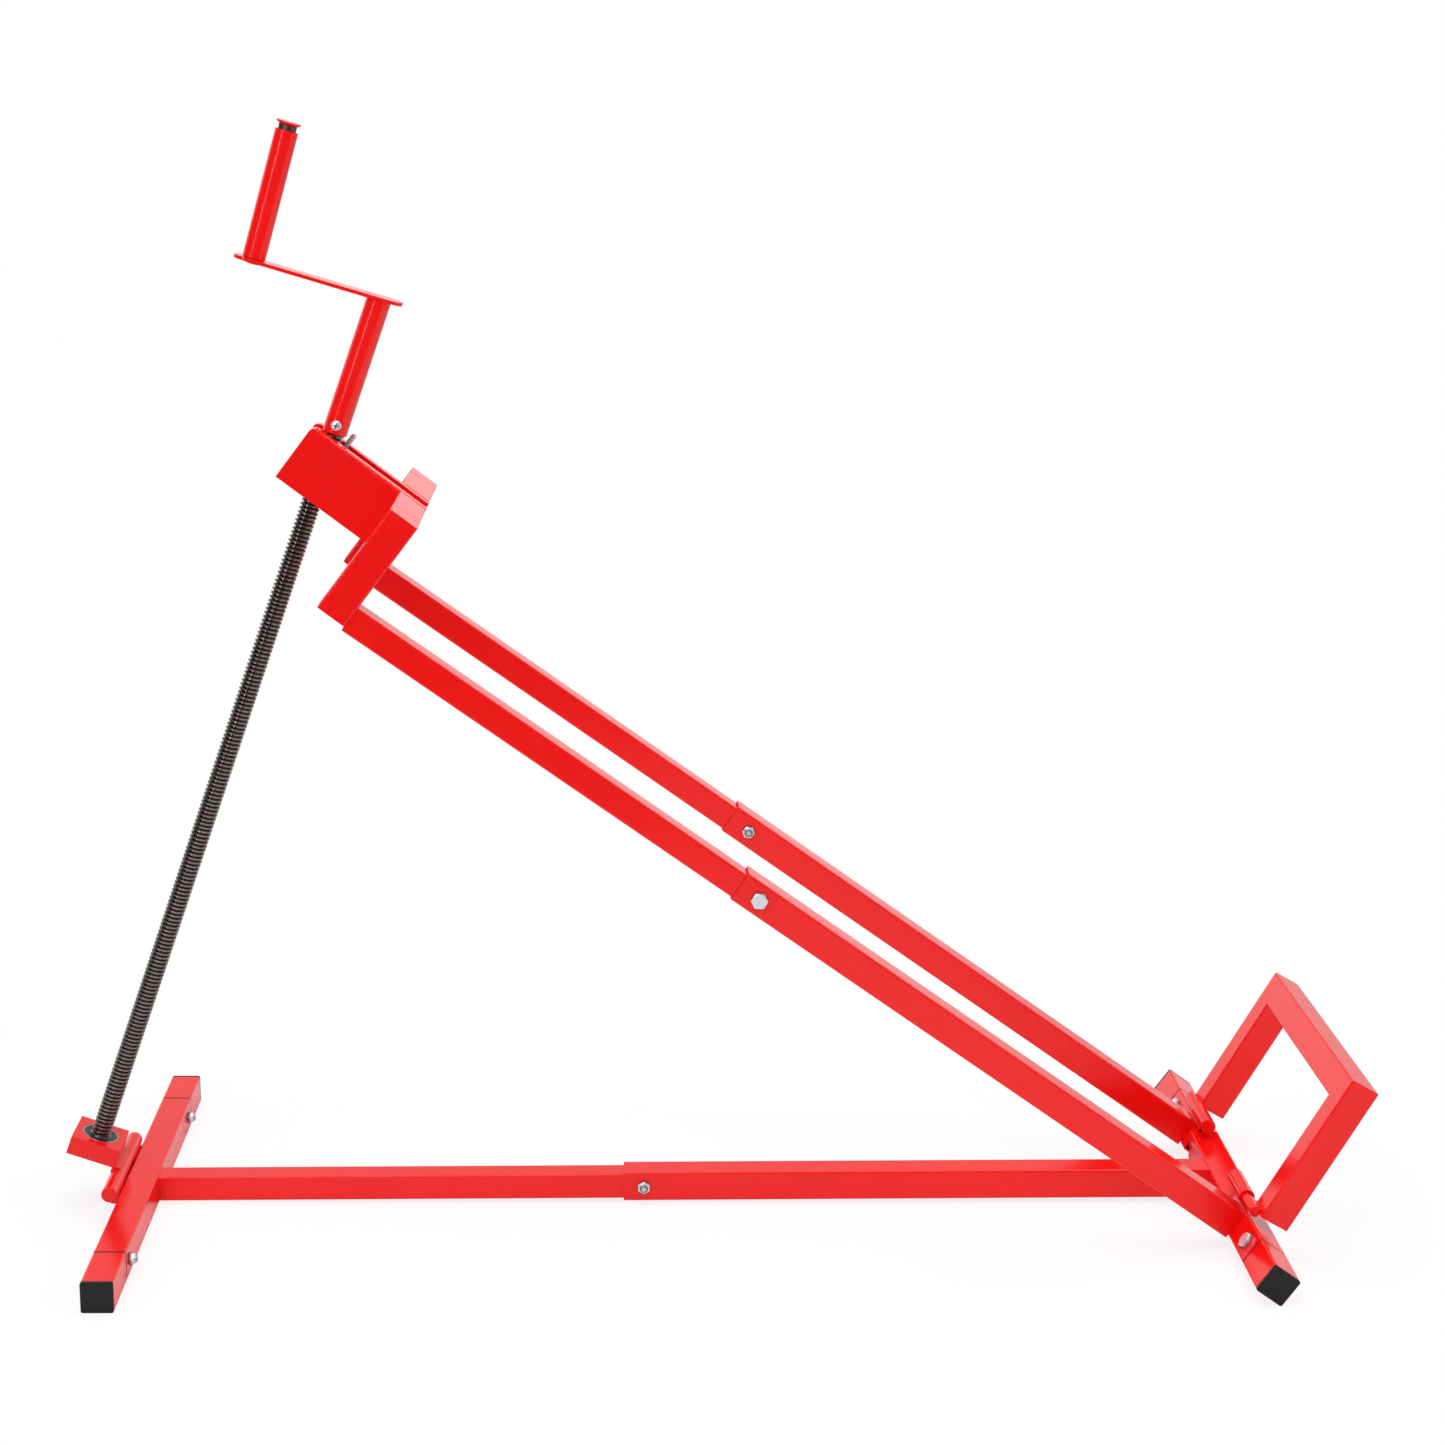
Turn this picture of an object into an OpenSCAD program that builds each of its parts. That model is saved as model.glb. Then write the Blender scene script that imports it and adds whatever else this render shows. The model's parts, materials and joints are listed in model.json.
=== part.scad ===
// Screw jack that lifts one end of a ride-on lawn mower.
// A sloping pair of arms hinges on the rear foot and is raised by a long screw
// that stands in a hinged bearing block on the front foot.
// Origin: on the floor under the middle of the front bar.
// +X runs back along the base tube, +Y across, +Z up.

/* [Square tube] */
// Outside width of the square tubes
tube_w = 35; // [28:0.5:42]
// Wall of the square tubes
tube_wall = 2; // [1.5:0.1:3]
// Outside corner radius of the square tubes
tube_corner = 2.5; // [1:0.1:4]
// Play round a tube that slides in another one
slide_gap = 0.5; // [0.3:0.1:0.8]
// Thickness of the black end caps outside the tube
cap_t = 4; // [2:0.5:8]
// Depth of the plug of an end cap inside the tube
cap_plug = 14; // [8:1:25]

/* [Feet] */
// Length of the front bar between its two joints
front_bar_len = 446; // [300:1:600]
// Length of each front leg outside its joint, cap included
front_leg_len = 77; // [50:1:150]
// Distance of the front leg bolts from the joints
front_bolt_inset = 20; // [12:1:35]
// Length of the cross tube of the rear foot, which stays still
rear_cross_len = 196.8; // [165:0.1:210]
// Length of the rear foot between its two joints
rear_foot_len = 446; // [400:1:560]
// Length of each rear leg outside its joint, cap included
rear_leg_len = 69; // [50:1:150]
// Distance of the rear leg bolts from the joints
rear_bolt_inset = 23; // [15:1:35]
// Length of the narrower tube that each leg has inside its joint
leg_insert_len = 40; // [36:1:60]
// Open joint between a foot's tube and its leg
joint_gap = 1; // [0.5:0.1:2]

/* [Base tube] */
// Distance from the middle of the front bar to the rear pivot
base_span = 1263.7; // [1100:0.1:1500]
// Distance from the middle of the front bar to the end of the wide base tube
base_joint = 557.5; // [450:0.5:700]
// Length of narrow tube inside the wide one, in the base and in the arms
tube_overlap = 80; // [50:1:120]
// Distance of the base bolt from the end of the wide tube
base_bolt_inset = 23.5; // [15:0.5:40]

/* [Arms] */
// Slope of the arms in the raised position
arm_angle = 35.15; // [25:0.05:45]
// Distance between the centre lines of the two arms
arm_spacing = 270.2; // [255:0.1:290]
// Length from the rear pivot to the upper end of the wide arm tubes
arm_joint = 709.2; // [500:0.1:850]
// Distance of the arm bolts from the end of the wide tubes
arm_bolt_inset = 26.2; // [15:0.1:40]
// Distance of the arms' centre line below the rear pivot
arm_drop = 4; // [0:0.1:6]

/* [Head] */
// Angle of the nut's pivot above the arms, seen from the rear pivot
nut_rise_angle = 2.78; // [2.2:0.01:3.2]
// Extra tilt of the head against the arms
head_tilt = 1.64; // [0:0.01:3]
// Height of the two uprights
upright_h = 131.3; // [120:0.1:150]
// Outside width of the head channel
head_w = 55.8; // [52:0.1:64]
// Length of the head channel
head_len = 151.6; // [145:0.1:170]
// Height of the head channel
head_h = 69.1; // [62:0.1:76]
// Plate thickness of the head channel
head_wall = 4; // [2.5:0.1:5]
// Bend radius of the head channel
head_bend = 5; // [4:0.1:7]
// Radius of the upper front corners of the head's side plates
head_corner = 7.5; // [4:0.5:16]
// Width of the slot along the top of the head
head_slot = 25; // [24:0.1:30]
// Distance of the nut's pivot in front of the uprights
nut_pivot_m = 37.5; // [30:0.1:45]
// Height of the nut's pivot above the foot of the uprights
nut_pivot_n = 74.4; // [72:0.1:80]

/* [Lifting screw] */
// Outside diameter of the screw thread
screw_d = 22; // [20:0.1:23]
// Distance from both pivots to the screw's axis
screw_offset = 35.4; // [34:0.1:38]
// Length of the screw above the bearing
screw_len = 930; // [925:1:960]
// Diameter of the pivot pins of the nut and of the front hinge
pivot_pin_d = 10; // [8:0.5:11]
// Outside diameter of the nut round the screw
nut_d = 32; // [28:0.5:34]
// Length of the nut
nut_len = 34; // [24:1:38]

/* [Bearing block] */
// Length of the block along the base
block_len = 57.4; // [54:0.1:64]
// Width of the block
block_w = 61.6; // [56:0.1:70]
// Thickness of the block
block_h = 22.2; // [20:0.1:28]
// Outside diameter of the ball bearing
bearing_d = 42; // [40:1:44]
// Bore of the ball bearing
bearing_bore = 20; // [17:0.5:20]
// Width of the ball bearing
bearing_w = 12; // [10:0.5:14]
// Outside diameter of the hinge barrels
barrel_d = 18; // [15:0.5:22]
// Length of the three front hinge barrels together
front_hinge_len = 164; // [130:1:200]
// Height of the front hinge above the top of the front bar
hinge_rise = 4; // [2:0.5:8]

/* [Crank] */
// Height of the crank tube's lower end above the hinge, along the screw
crank_z = 898.5; // [890:0.1:920]
// Length of the crank tube
crank_tube_len = 153.4; // [100:0.1:200]
// Outside diameter of the crank tube
crank_tube_d = 27; // [26:0.1:32]
// Width of the crank bar
crank_bar_w = 30; // [28:0.5:36]
// Thickness of the crank bar
crank_bar_t = 4; // [3:0.5:6]
// Distance from the screw's axis to the grip's axis
crank_radius = 140; // [100:1:180]
// Tilt of the crank bar against the screw
crank_rake = 3.3; // [0:0.1:6]
// Outside diameter of the turning grip
grip_d = 25; // [23:0.5:32]
// Length of the grip
grip_len = 140; // [100:1:170]
// Diameter of the spindle inside the grip
spindle_d = 19.6; // [14:0.1:20]
// Diameter of the disc that holds the grip on
disc_d = 27; // [26:0.5:36]
// Thickness of the disc with its taper
disc_t = 4; // [2.5:0.5:6]

/* [Wheel stop] */
// Outside width of the folding wheel stop
stop_w = 365.2; // [355:0.1:385]
// Height of the wheel stop along its legs
stop_h = 187.4; // [120:0.1:260]
// Angle between the arms and the legs of the stop
stop_angle = 84.3; // [75:0.1:95]
// Diameter of the knuckles welded to the stop's legs
knuckle_d = 12.3; // [10:0.1:14]
// Distance of the stop's hinge from the rear pivot, along the arms
stop_hinge_u = 20; // [18:0.5:26]
// Length of the barrels on the rear foot
stop_barrel_len = 60; // [50:1:66]
// Length of the knuckles on the stop's legs
stop_knuckle_len = 39.5; // [30:0.5:44]

/* [Fasteners] */
// Diameter of the frame bolts
bolt_d = 8; // [6:1:10]
// Width across flats of the bolt heads
bolt_head_flats = 16.5; // [12:0.5:19]
// Width across flats of the nuts
bolt_nut_flats = 13; // [12:0.5:17]
// Height of a bolt head
bolt_head_h = 5.3; // [4:0.1:7]
// Height of a nut
bolt_nut_h = 6.5; // [5:0.1:9]
// Length of thread that stands out of a nut
bolt_tip = 2; // [1:0.1:4]
// Diameter of the crank's cross bolt
crank_bolt_d = 6; // [5:0.5:8]

/* [Hidden] */

// Sides of the part
near = -1;
far = 1;

$fn = 64;
red = "#e3211c";
black = "#26242a";
zinc = "#b9bec4";
dark_steel = "#43362f";

// Overrun of every cut past the face that it opens
over = 1;
// Radial play of a pin or a shaft that turns
run_play = 0.08;
// Space between two bodies that move against each other
body_gap = 0.5;

// Square tubes
half_w = tube_w / 2;
bore_w = tube_w - 2 * tube_wall;
inner_w = bore_w - 2 * slide_gap;
inner_corner_share = 0.5;
bore_corner = tube_corner * inner_corner_share;
bolt_hole_play = 0.2;
bolt_hole_d = bolt_d + 2 * bolt_hole_play;
cap_wall = 2.5;
cap_play = 0.2;

// Rear pivot: the turned square legs stand on the floor with one rounded edge
pivot_z = (half_w - tube_corner) * (cos(arm_angle) + sin(arm_angle)) + tube_corner;
base_slope = atan2(pivot_z - half_w, base_span - half_w);
base_len = norm([base_span - half_w, pivot_z - half_w]);

// Front hinge and screw: both pivots are equally far from the rear pivot,
// so the screw leans by half of the arms' angle
hinge_x = -half_w - barrel_d / 2;
hinge_z = tube_w + hinge_rise;
hinge_span = norm([base_span - hinge_x, hinge_z - pivot_z]);
hinge_angle = atan2(hinge_z - pivot_z, base_span - hinge_x);
nut_angle = arm_angle + nut_rise_angle;
screw_lean = (hinge_angle + nut_angle) / 2;
screw_span = 2 * hinge_span * sin((nut_angle - hinge_angle) / 2);
nut_x = base_span - hinge_span * cos(nut_angle);
nut_z = pivot_z + hinge_span * sin(nut_angle);

// Head: its own frame starts at the lower front corner of the uprights
head_angle = arm_angle + head_tilt;
head_x = nut_x + nut_pivot_m * cos(head_angle) - nut_pivot_n * sin(head_angle);
head_z = nut_z - nut_pivot_m * sin(head_angle) - nut_pivot_n * cos(head_angle);
head_u = (base_span - head_x) * cos(arm_angle) + (head_z - pivot_z) * sin(arm_angle);
arm_inner_start = arm_joint - tube_overlap;
arm_inner_drop = arm_drop + slide_gap;
arm_half = arm_spacing / 2;
head_half = head_w / 2;
head_floor = upright_h - head_h;
head_web_len = 55;
stud_d = 6.3;
stud_m = 75.1;
stud_bite_share = 0.35;
stud_y = head_slot / 2 + stud_d * stud_bite_share;
stud_out = 13.7;
stud_in = 6;
upright_lid = 3;
pin_seat = head_wall / 2;

// Nut on the screw
nut_play = 0.4;
boss_d = 19;
boss_gap = 0.5;
nut_lift = 4;
nut_web_w = 20;
nut_web_low = -7;

// Bearing block, in a frame at the hinge with Z along the screw
barrel_r = barrel_d / 2;
block_top = barrel_r + block_h;
block_x = -screw_offset - block_len / 2;
bearing_low = block_top - bearing_w;
ring_t = 2;
seal_set = 0.6;
seal_gap = 0.2;
seal_t = 1.2;
ball_count = 9;
ball_gap = 0.1;
bearing_r = bearing_d / 2;
ring_in_r = bearing_bore / 2;
ball_r = (bearing_r - ring_in_r - 2 * ring_t - ball_gap) / 2;
recess_d = bearing_d - 2 * ring_t;
washer_d = 30;
washer_t = 2.5;
end_bolt_flats = 17;
end_bolt_h = 6.4;
end_bolt_d = 10;
end_bolt_len = 22;
hinge_pad_w = 9;
hinge_pad_drop = 10;
hinge_pad_inset = 8;
hinge_strip_t = 6;
hinge_strip_top = 6;
block_web_in = 3;
block_web_low = 3;
knuckle_wall = 4;
middle_len = block_w;
outer_len = (front_hinge_len - middle_len) / 2 - body_gap;
outer_start = middle_len / 2 + body_gap;

// Crank
crank_play = 0.2;
crank_bore = screw_d + 2 * crank_play;
crank_top = crank_z + crank_tube_len;
crank_bolt_rise = 10;
crank_bolt_z = crank_z + crank_bolt_rise;
crank_head_d = 11.5;
crank_head_h = 3.4;
crank_nut_flats = 10;
crank_nut_h = 5;
crank_bar_tail = 25.8;
bar_end_past = 21.2;
spindle_show = 5;
bar_boss_d = 15;
bar_boss_h = 1.6;
rivet_neck_d = 10;
screw_top = block_top + screw_len;
disc_rim_share = 0.4;

// Rear foot and stop
rear_half = rear_foot_len / 2;
stub_start = rear_cross_len / 2 + body_gap;
shaft_d = bore_w - 2 * run_play;
shaft_wall = 3;
shaft_end = 4;
shaft_len = 2 * (rear_half - leg_insert_len - shaft_end - body_gap);
stop_hinge_v = half_w + barrel_r + body_gap;
stop_leg_in = stop_w / 2 - tube_w;
stop_pin_d = knuckle_d / 2;
knuckle_inset = 8.6;
knuckle_start = stop_leg_in + tube_w - knuckle_inset - stop_knuckle_len;
barrel_end = knuckle_start - body_gap;
barrel_start = barrel_end - stop_barrel_len;
pad_w = 7;
stop_pin_len = 40;
barrel_bore_d = stop_pin_d + 2 * run_play;

// Profiles: rounded squares made of two bars and four discs stay exact
module round_rect(w, h, r) {
    square([w - 2 * r, h], center = true);
    square([w, h - 2 * r], center = true);
    for (x = [-1, 1], y = [-1, 1])
        translate([x * (w / 2 - r), y * (h / 2 - r)]) circle(r);
}

module tube_shape(w, wall, r) {
    difference() {
        round_rect(w, w, r);
        round_rect(w - 2 * wall, w - 2 * wall, r * inner_corner_share);
    }
}

module wide_tube(len) {
    linear_extrude(len) tube_shape(tube_w, tube_wall, tube_corner);
}

module narrow_tube(len) {
    linear_extrude(len) tube_shape(inner_w, tube_wall, tube_corner);
}

// Directions: +Z of the child turned to -X, +Y or +X
module to_front() {
    rotate([0, -90, 0]) children();
}

module to_side() {
    rotate([-90, 0, 0]) children();
}

module to_back() {
    rotate([0, 90, 0]) children();
}

// Frames of the pieces
module base_frame() {
    translate([half_w, 0, half_w]) rotate([0, -base_slope, 0]) children();
}

module arm_frame() {
    translate([base_span, 0, pivot_z]) rotate([0, arm_angle, 0]) children();
}

module head_frame() {
    translate([head_x, 0, head_z]) rotate([0, head_angle, 0]) children();
}

module screw_frame() {
    translate([hinge_x, 0, hinge_z]) rotate([0, screw_lean, 0]) children();
}

module nut_frame() {
    translate([nut_x, 0, nut_z]) rotate([0, screw_lean, 0]) children();
}

module screw_axis() {
    screw_frame() translate([-screw_offset, 0, 0]) children();
}

module bar_frame() {
    screw_axis() translate([0, 0, crank_top]) rotate([0, -crank_rake, 0]) children();
}

module stop_frame() {
    arm_frame() translate([-stop_hinge_u, 0, stop_hinge_v])
        rotate([0, stop_angle - 90, 0]) children();
}

// side is -1 on the near side and 1 on the far side
module mirrored(side) {
    if (side < 0) mirror([0, 1, 0]) children();
    else children();
}

// Hexagon bar with the given width across flats
module hexagon(flats, h) {
    cylinder(d = flats / cos(30), h = h, $fn = 6);
}

// Bolt with its nut, the shank from z = 0 to grip and the head below zero
module frame_bolt(grip) {
    translate([0, 0, -bolt_head_h]) hexagon(bolt_head_flats, bolt_head_h);
    cylinder(d = bolt_d, h = grip + bolt_nut_h + bolt_tip);
    translate([0, 0, grip]) hexagon(bolt_nut_flats, bolt_nut_h);
}

module bolt_hole(len) {
    translate([0, 0, -over]) cylinder(d = bolt_hole_d, h = len + 2 * over);
}

// A leg lies along +Y from its joint outwards. Its insert rests on the joint's floor
module leg_tube(len) {
    collar_wall = tube_wall + 2 * slide_gap + (tube_w - inner_w) / 2;
    difference() {
        to_side() {
            translate([0, 0, joint_gap]) wide_tube(len - cap_t - joint_gap);
            translate([0, 0, joint_gap]) linear_extrude(tube_wall + cap_wall)
                tube_shape(tube_w, collar_wall, tube_corner);
            translate([0, slide_gap, -leg_insert_len])
                narrow_tube(leg_insert_len + joint_gap + tube_wall);
        }
        children();
    }
}

// A cap has a plate over the tube's end and a hollow plug inside it
module end_cap() {
    plug_w = bore_w - 2 * cap_play;
    to_side() {
        linear_extrude(cap_t) round_rect(tube_w, tube_w, tube_corner);
        translate([0, 0, -cap_plug]) linear_extrude(cap_plug)
            tube_shape(plug_w, cap_wall, tube_corner * inner_corner_share);
    }
}

// Front foot: a strip under the hinge's middle barrel stiffens the bar
module front_bar() {
    strip_low = tube_w - hinge_pad_drop;
    color(red) difference() {
        union() {
            translate([0, -front_bar_len / 2, half_w]) to_side() wide_tube(front_bar_len);
            translate([-half_w - hinge_strip_t, -middle_len / 2, strip_low])
                cube([hinge_strip_t + tube_wall / 2, middle_len, hinge_pad_drop - hinge_strip_top]);
        }
        for (s = [-1, 1])
            translate([-half_w, s * (front_bar_len / 2 - front_bolt_inset), half_w])
                to_back() bolt_hole(tube_w);
    }
}

module front_leg(side) {
    color(red) mirrored(side) translate([0, front_bar_len / 2, half_w])
        leg_tube(front_leg_len)
            translate([-half_w, -front_bolt_inset, 0]) to_back() bolt_hole(tube_w);
}

module front_cap(side) {
    color(black) mirrored(side)
        translate([0, front_bar_len / 2 + front_leg_len - cap_t, half_w]) end_cap();
}

module front_bolt(side) {
    color(zinc) mirrored(side)
        translate([-half_w, front_bar_len / 2 - front_bolt_inset, half_w])
            to_back() frame_bolt(tube_w);
}

// The outer barrels are blind and welded to the front bar by a pad
module front_knuckle(side) {
    pad_low = tube_w - hinge_pad_drop;
    pad_len = outer_len - hinge_pad_inset;
    color(red) mirrored(side) difference() {
        union() {
            translate([hinge_x, outer_start, hinge_z]) to_side()
                cylinder(d = barrel_d, h = outer_len);
            translate([-half_w - hinge_pad_w, outer_start, pad_low])
                cube([hinge_pad_w, pad_len, hinge_z - pad_low]);
        }
        translate([hinge_x, outer_start - over, hinge_z]) to_side()
            cylinder(d = pivot_pin_d, h = outer_len - knuckle_wall + over);
    }
}

module front_hinge_pin() {
    len = 2 * (outer_start + outer_len - knuckle_wall);
    color(zinc) translate([hinge_x, -len / 2, hinge_z]) to_side()
        cylinder(d = pivot_pin_d, h = len);
}

// Base tubes: the narrow one lies on the floor of the wide one
module base_inner_tube() {
    len = base_joint + tube_overlap - half_w;
    color(red) difference() {
        base_frame() translate([-over, 0, 0]) difference() {
            translate([0, 0, -slide_gap]) to_back() narrow_tube(len + over);
            translate([base_joint + base_bolt_inset - half_w + over, -half_w, 0])
                to_side() bolt_hole(tube_w);
        }
        translate([-half_w, -half_w, -tube_w]) cube([tube_w, tube_w, 3 * tube_w]);
    }
}

module base_outer_tube() {
    start = base_joint - half_w;
    color(red) base_frame() difference() {
        translate([start, 0, 0]) to_back() wide_tube(base_len - half_w - start);
        translate([start + base_bolt_inset, -half_w, 0]) to_side() bolt_hole(tube_w);
    }
}

module base_bolt() {
    color(zinc) base_frame() mirrored(near)
        translate([base_joint + base_bolt_inset - half_w, -half_w, 0])
            to_side() frame_bolt(tube_w);
}

module rear_cross_tube() {
    color(red) translate([base_span, -rear_cross_len / 2, pivot_z])
        rotate([0, -base_slope, 0]) to_side() wide_tube(rear_cross_len);
}

// Rear foot: everything below turns with the arms
module pivot_shaft() {
    color(dark_steel) arm_frame() {
        translate([0, -shaft_len / 2, 0]) to_side() difference() {
            cylinder(d = shaft_d, h = shaft_len);
            translate([0, 0, -over]) cylinder(d = shaft_d - 2 * shaft_wall, h = shaft_len + 2 * over);
        }
        for (s = [-1, 1])
            mirrored(s) translate([0, shaft_len / 2, 0]) to_side() linear_extrude(shaft_end)
                round_rect(bore_w, bore_w, bore_corner);
    }
}

module rear_stub(side) {
    color(red) arm_frame() mirrored(side) difference() {
        translate([0, stub_start, 0]) to_side() wide_tube(rear_half - stub_start);
        translate([half_w, rear_half - rear_bolt_inset, 0]) to_front() bolt_hole(tube_w);
    }
}

module rear_leg(side) {
    color(red) arm_frame() mirrored(side) translate([0, rear_half, 0])
        leg_tube(rear_leg_len)
            translate([half_w, -rear_bolt_inset, 0]) to_front() bolt_hole(tube_w);
}

module rear_cap(side) {
    color(black) arm_frame() mirrored(side)
        translate([0, rear_half + rear_leg_len - cap_t, 0]) end_cap();
}

module rear_bolt(side) {
    color(zinc) arm_frame() mirrored(side)
        translate([-half_w, rear_half - rear_bolt_inset, 0]) to_back() frame_bolt(tube_w);
}

module stop_barrel(side) {
    weld = barrel_end - stub_start;
    color(red) arm_frame() mirrored(side) difference() {
        union() {
            translate([-stop_hinge_u, barrel_start, stop_hinge_v]) to_side()
                cylinder(d = barrel_d, h = stop_barrel_len);
            translate([-half_w, stub_start, half_w])
                cube([pad_w, weld, barrel_r]);
        }
        translate([-stop_hinge_u, barrel_end - stop_pin_len, stop_hinge_v]) to_side()
            cylinder(d = barrel_bore_d, h = stop_pin_len + over);
    }
}

// Arms
module arm_outer(side) {
    color(red) arm_frame() mirrored(side) translate([0, arm_half, -arm_drop]) difference() {
        translate([-half_w, 0, 0]) to_front() wide_tube(arm_joint - half_w);
        translate([arm_bolt_inset - arm_joint, -half_w, 0]) to_side() bolt_hole(tube_w);
    }
}

module arm_inner(side) {
    reach = head_u - arm_inner_start;
    color(red) mirrored(side) difference() {
        arm_frame() translate([0, arm_half, -arm_inner_drop]) difference() {
            translate([-arm_inner_start, 0, 0]) to_front() narrow_tube(reach);
            translate([arm_bolt_inset - arm_joint, -half_w, slide_gap]) to_side() bolt_hole(tube_w);
        }
        head_frame() translate([-tube_w, arm_half - tube_w, -tube_w])
            cube([2 * tube_w, 2 * tube_w, 3 * tube_w]);
    }
}

module arm_bolt(side) {
    color(zinc) arm_frame() mirrored(-side)
        translate([arm_bolt_inset - arm_joint, -arm_half - half_w, -arm_drop])
            to_side() frame_bolt(tube_w);
}

module upright(side) {
    color(red) head_frame() mirrored(side) translate([half_w, arm_half, 0]) {
        wide_tube(upright_h);
        translate([0, 0, upright_h - upright_lid]) linear_extrude(upright_lid)
            round_rect(bore_w, bore_w, bore_corner);
    }
}

// The head tubes stop flat against the uprights and the channel
module head_tube(side) {
    color(red) head_frame() mirrored(side)
        translate([half_w, head_half, upright_h - half_w]) to_side()
            wide_tube(arm_half - half_w - head_half);
}

// Cross section of the head channel: open below, slotted above
module channel_shape() {
    inner_bend = head_bend - head_wall;
    difference() {
        union() {
            translate([-head_half, 0]) square([head_w, head_h - head_bend]);
            translate([head_bend - head_half, 0]) square([head_w - 2 * head_bend, head_h]);
            for (s = [-1, 1])
                translate([s * (head_half - head_bend), head_h - head_bend]) circle(head_bend);
        }
        translate([head_wall - head_half, -over])
            square([head_w - 2 * head_wall, head_h - head_bend + over]);
        translate([head_bend - head_half, -over])
            square([head_w - 2 * head_bend, head_h - head_wall + over]);
        for (s = [-1, 1])
            translate([s * (head_half - head_bend), head_h - head_bend]) circle(inner_bend);
        translate([-head_slot / 2, -over]) square([head_slot, head_h + 2 * over]);
    }
}

// Side outline of the channel with its rounded upper front corner
module channel_side() {
    difference() {
        translate([-head_len, 0]) square([head_len, head_h]);
        translate([-head_len - over, head_h - head_corner])
            square([head_corner + over, head_corner + over]);
    }
    translate([head_corner - head_len, head_h - head_corner]) circle(head_corner);
}

module head_channel() {
    color(red) head_frame() translate([tube_w, 0, head_floor]) difference() {
        union() {
            intersection() {
                to_front() rotate([0, 0, -90])
                    linear_extrude(head_len) channel_shape();
                translate([0, head_half, 0]) rotate([90, 0, 0])
                    linear_extrude(head_w) channel_side();
            }
            translate([-head_web_len, -head_half + head_wall, 0])
                cube([head_web_len, head_w - 2 * head_wall, head_wall]);
        }
        translate([-stud_m - tube_w, stud_y, head_h - head_wall - over])
            cylinder(d = stud_d, h = head_wall + 2 * over);
        for (s = [-1, 1])
            mirrored(s) translate([-nut_pivot_m - tube_w, head_half - head_wall - over,
                nut_pivot_n - head_floor]) to_side() cylinder(d = pivot_pin_d, h = pin_seat + over);
    }
}

module head_stud() {
    color(zinc) head_frame()
        translate([-stud_m, stud_y, upright_h - head_wall - stud_in])
            cylinder(d = stud_d, h = stud_in + head_wall + stud_out);
}

module nut_pivot_pin() {
    len = head_w - 2 * head_wall + 2 * pin_seat;
    color(zinc) head_frame() translate([-nut_pivot_m, -len / 2, nut_pivot_n]) to_side()
        cylinder(d = pivot_pin_d, h = len);
}

// Folding wheel stop: its frame has +Z along the legs
module stop_leg(side) {
    color(red) stop_frame() mirrored(side)
        translate([knuckle_d / 2, stop_leg_in, 0]) difference() {
            translate([half_w, half_w, 0]) wide_tube(stop_h);
            translate([-over, 0, stop_h - tube_w]) rotate([45, 0, 0])
                translate([0, -tube_w, 0]) cube([tube_w + 2 * over, 3 * tube_w, 2 * tube_w]);
        }
}

module stop_top() {
    color(red) stop_frame() translate([knuckle_d / 2, 0, stop_h - tube_w]) difference() {
        translate([half_w, -stop_w / 2, half_w]) to_side() wide_tube(stop_w);
        for (s = [-1, 1])
            mirrored(s) translate([-over, stop_leg_in, 0]) rotate([45, 0, 0])
                translate([0, -tube_w, -2 * tube_w])
                    cube([tube_w + 2 * over, 3 * tube_w, 2 * tube_w]);
    }
}

// The knuckle carries the pin that turns in the barrel
module stop_knuckle(side) {
    color(red) stop_frame() mirrored(side) {
        translate([0, knuckle_start, 0]) to_side() cylinder(d = knuckle_d, h = stop_knuckle_len);
        translate([0, stop_leg_in, 0])
            cube([knuckle_d / 2, stop_knuckle_len + knuckle_start - stop_leg_in, knuckle_d / 2]);
        translate([0, knuckle_start - stop_pin_len + pin_seat, 0]) to_side()
            cylinder(d = stop_pin_d, h = stop_pin_len);
    }
}

// Nut: a boss on the pivot pin and a round nut round the screw
module nut_block() {
    boss_w = head_w - 2 * head_wall - 2 * boss_gap;
    color(dark_steel) nut_frame() difference() {
        union() {
            translate([0, -boss_w / 2, 0]) to_side() cylinder(d = boss_d, h = boss_w);
            translate([-screw_offset, -nut_web_w / 2, nut_web_low])
                cube([screw_offset, nut_web_w, nut_lift + nut_len / 2 - nut_web_low]);
            translate([-screw_offset, 0, nut_lift]) cylinder(d = nut_d, h = nut_len);
        }
        translate([0, -boss_w / 2 - over, 0]) to_side()
            cylinder(d = pivot_pin_d + 2 * run_play, h = boss_w + 2 * over);
        translate([-screw_offset, 0, nut_web_low - over])
            cylinder(d = screw_d + 2 * nut_play, h = nut_len + nut_lift - nut_web_low + 2 * over);
    }
}

// Bearing block with its hinge barrel
module bearing_block() {
    block_end = block_x + block_len;
    color(red) screw_frame() difference() {
        union() {
            translate([block_x, -block_w / 2, barrel_r]) cube([block_len, block_w, block_h]);
            translate([0, -middle_len / 2, 0]) to_side() cylinder(d = barrel_d, h = middle_len);
            translate([block_end - block_web_in, -middle_len / 2, block_web_low])
                cube([block_web_in - block_end, middle_len, barrel_r]);
        }
        translate([-screw_offset, 0, bearing_low]) cylinder(d = bearing_d, h = bearing_w + over);
        translate([-screw_offset, 0, barrel_r - over])
            cylinder(d = recess_d, h = bearing_low - barrel_r + 2 * over);
        translate([0, -middle_len / 2 - over, 0]) to_side()
            cylinder(d = pivot_pin_d + 2 * run_play, h = middle_len + 2 * over);
    }
}

module ring(d_out, d_in, h) {
    difference() {
        cylinder(d = d_out, h = h);
        translate([0, 0, -over]) cylinder(d = d_in, h = h + 2 * over);
    }
}

module bearing_outer_ring() {
    color(zinc) screw_axis() translate([0, 0, bearing_low])
        ring(bearing_d, bearing_d - 2 * ring_t, bearing_w);
}

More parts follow.
